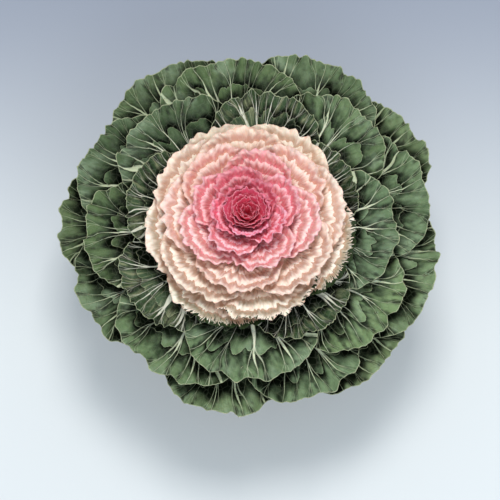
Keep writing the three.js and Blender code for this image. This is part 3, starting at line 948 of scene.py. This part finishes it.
def heart_core():
    """The slim core under the small leaves, with plain values for the leaf material."""
    bottom = STEM.top_z + GAP
    radii = np.array([0.2, 0.7, 0.95, 1, 1.1, 0.95, 0.6, 0.15]) * HEART.base_radius
    heights = np.array([0, 0, 0.15, 1, 5, 9, 12, HEART.core_top - bottom]) + bottom
    points, faces = lathe(stacked(radii, heights), 24)
    plain = {"fork": 0, "tier": 0.06, "spacing": 9, "fleck": 0, "under": 0, "crest": 0, "gap": 0}
    values = {label: np.full(len(points), float(value)) for label, value in plain.items()}
    values |= spread_pigments(heart_pigments(0), len(points))
    return points, faces, np.full((len(faces), 4, 2), 0.5), values


heart_parts = [heart_core()] + [
    leaf_arrays(heart_leaf(number), KINDS["heart"], heart_pigments(number / (HEART.leaves - 1)))
    for number in range(HEART.leaves)]
heart = build_mesh("heart_fine", *joined(heart_parts))
print("quads in the heart:", hand_over(heart, "heart", tissues["heart"]))

# %% [markdown]
# ## The pot
# A nursery pot is moulded in one shot of polypropylene, about 2 mm thick, with a stiffening band at its
# mouth and holes in its floor. It is a lathe surface with a mould's rounded corners. The drain holes are
# cut by a Boolean modifier, which is then applied.

# %% Profiles
def filleted(corners, radius, steps=5):
    """An open profile with its inner corners rounded, in mm.

    A corner gives way to (1-t)^2 a + 2t(1-t) corner + t^2 b, where a and b lie on its two sides, radius
    away, or a third of the side where that is less.
    """
    corners = np.asarray(corners, float)
    sides = np.diff(corners, axis=0)
    lengths = np.linalg.norm(sides, axis=1, keepdims=True)
    inwards = sides / lengths * np.minimum(radius, lengths / 3)
    a, corner, b = corners[1:-1] - inwards[:-1], corners[1:-1], corners[1:-1] + inwards[1:]
    t = np.linspace(0, 1, steps)[None, :, None]
    curves = a[:, None] * (1 - t) ** 2 + 2 * corner[:, None] * t * (1 - t) + b[:, None] * t**2
    return np.concatenate([corners[:1], curves.reshape(-1, 2), corners[-1:]])


def evenly(profile, step):
    """The same profile with points added, so that no two are more than step mm apart."""
    counts = np.ceil(np.linalg.norm(np.diff(profile, axis=0), axis=1) / step).astype(int)
    side = np.repeat(np.arange(len(counts)), counts)
    share = (np.arange(len(side)) - np.repeat(np.cumsum(counts) - counts, counts)) / counts[side]
    return np.concatenate([mix(profile[:-1][side], profile[1:][side], share[:, None]), profile[-1:]])


# %% Moulded polypropylene
def pot_plastic():
    """A matt skin with fine spark-eroded grain, slight flow marks, and dried soil low down and in spots."""
    material, add = new_material("polypropylene, injection moulded, matt terracotta colour")
    place = add("TexCoord", output="Object")
    height = add("SeparateXYZ", (place,), output="Z")
    flow = add("TexNoise", sized(place, 28, Detail=3))
    grain = add("TexNoise", sized(place, 0.8, Detail=2))
    spots = add("TexNoise", sized(place, 7, Detail=5))
    low_down = add("MapRange", span(height, 0, 25 * MM, 0.12, 0), **SMOOTH)
    dirt = add("Math", (spots, low_down), **PLUS)
    dirt = add("MapRange", span(dirt, 0.6, 0.78, 0, 0.6), **SMOOTH)
    colour = painted(add, "#A65C3C", (flow, "#BC7650"), (dirt, "#6A5240"))
    roughness = add("MapRange", span(dirt, 0, 0.6, 0.52, 0.85))
    surface(add, grain, 0.25, 0.1, {"Base Color": colour, "Roughness": roughness, "IOR": 1.49})
    return material


# %% Make the pot
POT = Sizes(height=100, base_radius=46, top_radius=61, wall=1.8, floor=2.4, fillet=0.8)
BAND = Sizes(height=18, radius=66, step=3.2)
DRAIN = Sizes(holes=5, radius=4.5, circle=28)
CAP_RADIUS = 1.5  # of the rings that are filled across at a lathe's two ends
band_z = POT.height - BAND.height
pot_profile = filleted([
    (CAP_RADIUS, 0), (POT.base_radius - 1.5, 0), (POT.base_radius, 1.5), (POT.top_radius, band_z),
    (BAND.radius - 1.4, band_z + 1), (BAND.radius, POT.height - 0.8), (BAND.radius - 0.8, POT.height),
    (BAND.radius - POT.wall, POT.height - 0.6), (BAND.radius - BAND.step, band_z + 2.4),
    (POT.top_radius - POT.wall, band_z + 0.6), (POT.base_radius - POT.wall, POT.floor),
    (CAP_RADIUS, POT.floor)], POT.fillet)
pot = build_mesh("pot_fine", *lathe(evenly(pot_profile, 6), 144))
drill_points, drill_faces = lathe([(1, -2), (DRAIN.radius, -2), (DRAIN.radius, 5), (1, 5)], 32)
turns = np.arange(DRAIN.holes) * TAU / DRAIN.holes
centres = DRAIN.circle * stacked(np.cos(turns), np.sin(turns), 0 * turns)
drills = build_mesh(
    "drills", (drill_points + centres[:, None]).reshape(-1, 3),
    (drill_faces + len(drill_points) * np.arange(DRAIN.holes)[:, None, None]).reshape(-1, 4))
cut = pot.modifiers.new("drain holes", "BOOLEAN")
cut.object, cut.operation, cut.solver = drills, "DIFFERENCE", "EXACT"
drilled = pot.evaluated_get(bpy.context.evaluated_depsgraph_get())
pot.data = bpy.data.meshes.new_from_object(drilled)
pot.modifiers.clear()
bpy.data.objects.remove(drills)
print("faces of the pot:", hand_over(pot, "pot", pot_plastic(), sharp=True))

# %% [markdown]
# ## The compost
# Moist potting compost is crumbs of peat and bark. Its top is a grid whose height is a sum of waves from
# lumps down to crumbs; what is finer is in the bump of its material.


# %% Moist compost
def compost():
    """Dark, dull and crumbly, with paler bits of bark fibre."""
    material, add = new_material("potting compost, moist, crumbled")
    place = add("TexCoord", output="Object")
    clods = add("TexNoise", sized(place, 5, Detail=6, Roughness=0.7))
    crumbs = add("TexVoronoi", sized(place, 1.8), output="Distance")
    fibres = add("TexNoise", sized(place, 2.2, Detail=3, Distortion=2))
    bark = span(fibres, 0.62, 0.7, 0, 0.8)
    colour = painted(add, "#1C130C", (clods, "#463222"), (bark, "#7C5C3C"))
    relief = add("Math", (crumbs, -0.6, clods), **TIMES_PLUS)
    surface(add, relief, 0.9, 1.2, {"Base Color": colour, "Roughness": 0.92})
    return material


# %% Make the compost
SOIL = Sizes(level=86, edge_z=80, bottom=POT.floor + GAP, lump=1.1)


def pot_inside(z):
    """The pot's inside radius at a height, below its band."""
    return mix(POT.base_radius, POT.top_radius, (z - POT.floor) / (band_z + 0.6 - POT.floor)) - POT.wall


def crumbled(grid):
    """Raises the top by products of sines in x and y, fading out at the hole and the wall."""
    x, y, z = grid[..., 0], grid[..., 1], grid[..., 2]
    radius = polar(grid)[1]
    loose = ease(soil_hole, soil_hole + 3, radius) * ease(soil_edge, soil_edge - 3, radius)
    loose = loose * (z > SOIL.edge_z - 1)
    lumps = np.sin(0.9 * x + 1 + np.sin(0.31 * y)) * np.cos(0.8 * y + np.sin(0.23 * x))
    clods = np.sin(1.7 * x + 2 * np.sin(0.5 * y)) * np.sin(1.5 * y + 2 * np.sin(0.6 * x))
    grid[..., 2] = z + loose * SOIL.lump * (0.7 * lumps + 0.5 * clods)
    return grid


soil_hole = STEM.radius + GAP
soil_edge = pot_inside(SOIL.edge_z) - GAP
top_radii = np.linspace(soil_edge, soil_hole, 44)
top_heights = mix(SOIL.level, SOIL.edge_z, ((top_radii - soil_hole) / (soil_edge - soil_hole)) ** 2)
soil_profile = np.concatenate([
    [(soil_hole, SOIL.bottom), (pot_inside(SOIL.bottom) - 2 * GAP, SOIL.bottom)],
    stacked(top_radii, top_heights)])
soil = build_mesh("soil_fine", *lathe(soil_profile, 168, crumbled, capped=False))
print("faces of the compost:", hand_over(soil, "soil", compost(), sharp=True))

# %% [markdown]
# ## The stem
# The stem is hidden between the leaves, but seen from low down. Each leaf leaves a shallow crescent on
# the same spiral, so the dents are a sum of smooth spots on a lathe surface.


# %% Waxy stem skin
def stem_skin():
    """Pale green and waxy, corky and brown at its foot, flushed with crimson at its top."""
    material, add = new_material("kale stem skin, waxy")
    place = add("TexCoord", output="Object")
    height = add("SeparateXYZ", (place,), output="Z")
    lengthwise = add("Mapping", {"Vector": place, "Scale": (1, 1, 0.2)})
    fibres = add("TexNoise", sized(lengthwise, 1.6, Detail=3))
    cork = add("MapRange", span(height, 84 * MM, 100 * MM, 0.8, 0), **SMOOTH)
    flush = span(height, 118 * MM, 138 * MM)
    colour = painted(
        add, "#7E955C", (fibres, "#A4B682"), ((cork, fibres), "#8C7250"), (flush, "#B84458"))
    surface(add, fibres, 0.5, 0.3, {
        "Base Color": colour, "Roughness": 0.5, "IOR": 1.42, "Subsurface Weight": 0.15,
        "Subsurface Radius": (1, 0.7, 0.3), "Subsurface Scale": 1.5 * MM})
    return material


# %% Make the stem
FALLEN_LEAVES = 12  # scars below the lowest leaf
SCAR = Sizes(depth=0.5, half_height=1.5, half_width=4)


def scarred(grid):
    """Dents by depth * exp(-(up / half_height)^2 - (round / half_width)^2) at each leaf's root."""
    number = np.arange(LEAF_COUNT + FALLEN_LEAVES)
    root_z = root_height(number)
    angle, radius = polar(grid)
    away = (angle[..., None] - number * GOLDEN_ANGLE + pi) % TAU - pi
    up = grid[..., 2][..., None] - root_z + 1.5
    spots = np.exp(-((up / SCAR.half_height) ** 2) - (away * radius[..., None] / SCAR.half_width) ** 2)
    dent = SCAR.depth * np.minimum(spots.sum(axis=-1), 1) * ease(3, 4, radius)
    grid[..., :2] *= (1 - dent / np.maximum(radius, 1))[..., None]
    return grid


stem_profile = filleted([
    (CAP_RADIUS, STEM.bottom), (STEM.radius - 2, STEM.bottom), (STEM.radius, STEM.bottom + 2),
    (STEM.radius, STEM.neck_z), (STEM.top_radius, STEM.top_z), (CAP_RADIUS, STEM.top_z)], 0.8)
stem = build_mesh("stem_fine", *lathe(evenly(stem_profile, 1), 72, scarred))
print("faces of the stem:", hand_over(stem, "stem", stem_skin(), sharp=True))

# %% [markdown]
# ## Floor, light and camera
# A seamless pale floor, painted darker towards the back as a falloff of light, a soft box almost overhead
# and a little behind, and a larger one in front that fills the shadows. The camera looks down at 70 degrees
# through a long lens, so the rings stay round.

# %% The floor
FLOOR_HALF = 4
floor_mesh = bpy.data.meshes.new("floor")
floor_corners = [(x * FLOOR_HALF, y * FLOOR_HALF, 0) for x, y in ((-1, -1), (1, -1), (1, 1), (-1, 1))]
floor_mesh.from_pydata(floor_corners, [], [(0, 1, 2, 3)])
floor = put_in_scene("floor", floor_mesh)
paper, add = new_material("matt background paper, pale grey-blue")
depth = add("SeparateXYZ", (add("TexCoord", output="Object"),), output="Y")
# Painted shade: the floor's colour darkens towards the back, a painted falloff of light.
painted_falloff = painted(add, "#DAE0E3", (span(depth, -0.08, 0.33), "#9098A8"))
add("OutputMaterial", {"Surface": add("BsdfPrincipled", {"Base Color": painted_falloff, "Roughness": 0.9})})
floor_mesh.materials.append(paper)
print("floor, m across:", 2 * FLOOR_HALF)


# %% The lights
PLANT_CENTRE = (0, 0, 0.13)


def look_at(obj, aim):
    """Turns an object so that its own -Z points at an aim."""
    obj.rotation_euler = (Vector(aim) - obj.location).to_track_quat("-Z", "Y").to_euler()


def soft_light(name, place, size, power, colour):
    """A square soft box at a place, in metres, turned to the rosette."""
    data = bpy.data.lights.new(name, "AREA")
    data.shape, data.size, data.energy, data.color = "SQUARE", size, power, colour
    lamp = put_in_scene(name, data)
    lamp.location = place
    look_at(lamp, PLANT_CENTRE)


soft_light("key_light", (0.04, 0.4, 1.7), 0.6, 15.6, (1, 0.97, 0.93))
soft_light("fill_light", (0.3, -1.6, 1.3), 1.2, 15, (0.93, 0.97, 1))
world = bpy.data.worlds.new("soft room light")
world.use_nodes = True
sky = world.node_tree.nodes["Background"].inputs
sky["Color"].default_value = (0.88, 0.95, 1.02, 1)
sky["Strength"].default_value = 0.62
scene.world = world
scene.view_settings.view_transform = "Standard"
print("lights:", [light.name for light in bpy.data.lights])

# %% The camera
CAMERA = Sizes(elevation=70, distance=1.6, aim=(0.002, -0.0141, 0.115), width=0.405)
camera_data = bpy.data.cameras.new("camera")
camera_data.sensor_width = 36
camera_data.lens = camera_data.sensor_width * CAMERA.distance / CAMERA.width
camera = put_in_scene("camera", camera_data)
tilt = radians(CAMERA.elevation)
camera.location = Vector(CAMERA.aim) + CAMERA.distance * Vector((0, -cos(tilt), sin(tilt)))
look_at(camera, CAMERA.aim)
scene.camera = camera
print("lens, mm:", round(camera_data.lens, 1))
